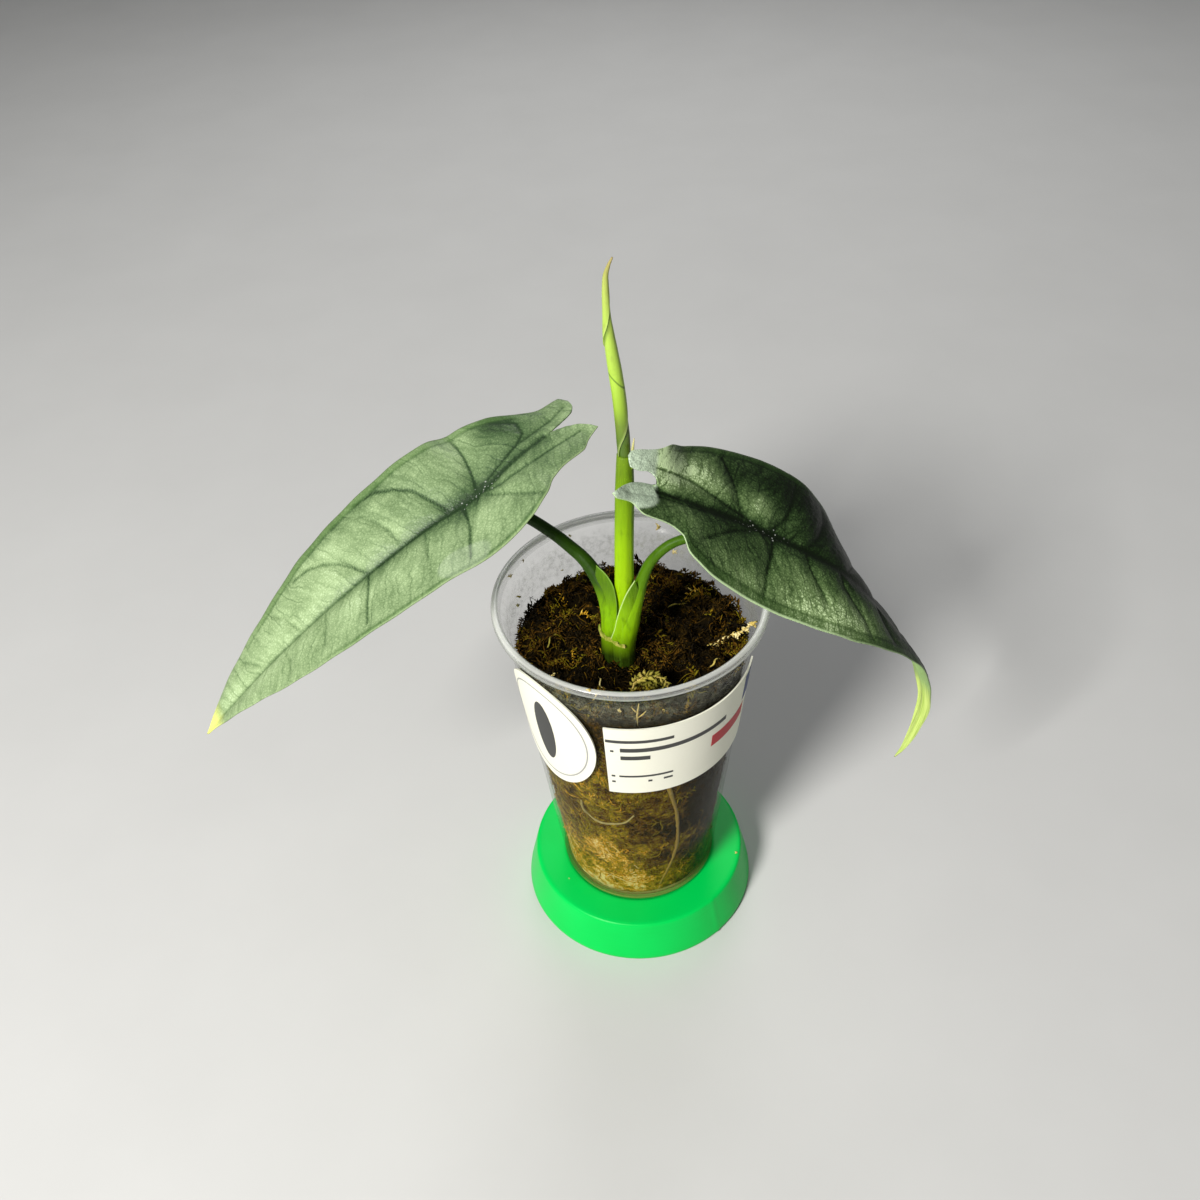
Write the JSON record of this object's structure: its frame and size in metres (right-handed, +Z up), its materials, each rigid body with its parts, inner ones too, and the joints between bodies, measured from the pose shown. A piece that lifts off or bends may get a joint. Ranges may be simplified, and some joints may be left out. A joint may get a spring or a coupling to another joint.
{
  "type": "potted alocasia heterophylla",
  "caption": "House plant with long silver-green arrow leaves on arching stalks and a furled new leaf, rooted in moss in a clear tapered plastic cup that rests on a round green stand.",
  "frame": {"origin": "centre of the stand's underside, which rests on the surface", "axes": "+Z up through the cup, -Y towards the viewer of the picture, +X to the viewer's right"},
  "size_m": [0.2515, 0.095, 0.2811],
  "materials": {
    "stand": "satin vivid green printed plastic",
    "cup": "thin clear plastic, slightly hazed and scratched",
    "moss": "damp brown and olive sphagnum moss, rough",
    "stem": "short olive stem, dull",
    "root": "pale tan roots, dull",
    "petiole": "smooth bright green leaf stalk with fine pale flecks",
    "furled_leaf": "smooth pale green rolled leaf",
    "dry_collar": "dry papery scar, matt",
    "leaf": "satin silver-green blade with dark green veins",
    "label": "plain white label film, matt"
  },
  "bodies": {
    "root": {"stand": "stand", "cup": "cup", "moss": "moss", "stem_base": "stem", "root_right": "root", "root_left": "root", "stalk_center": "petiole", "furled_leaf": "furled_leaf", "petiole_left": "petiole", "petiole_right": "petiole", "dry_collar": "dry_collar", "leaf_left": "leaf", "leaf_right": "leaf", "label_oval": "label", "label_card": "label"}
  },
  "joints": []
}
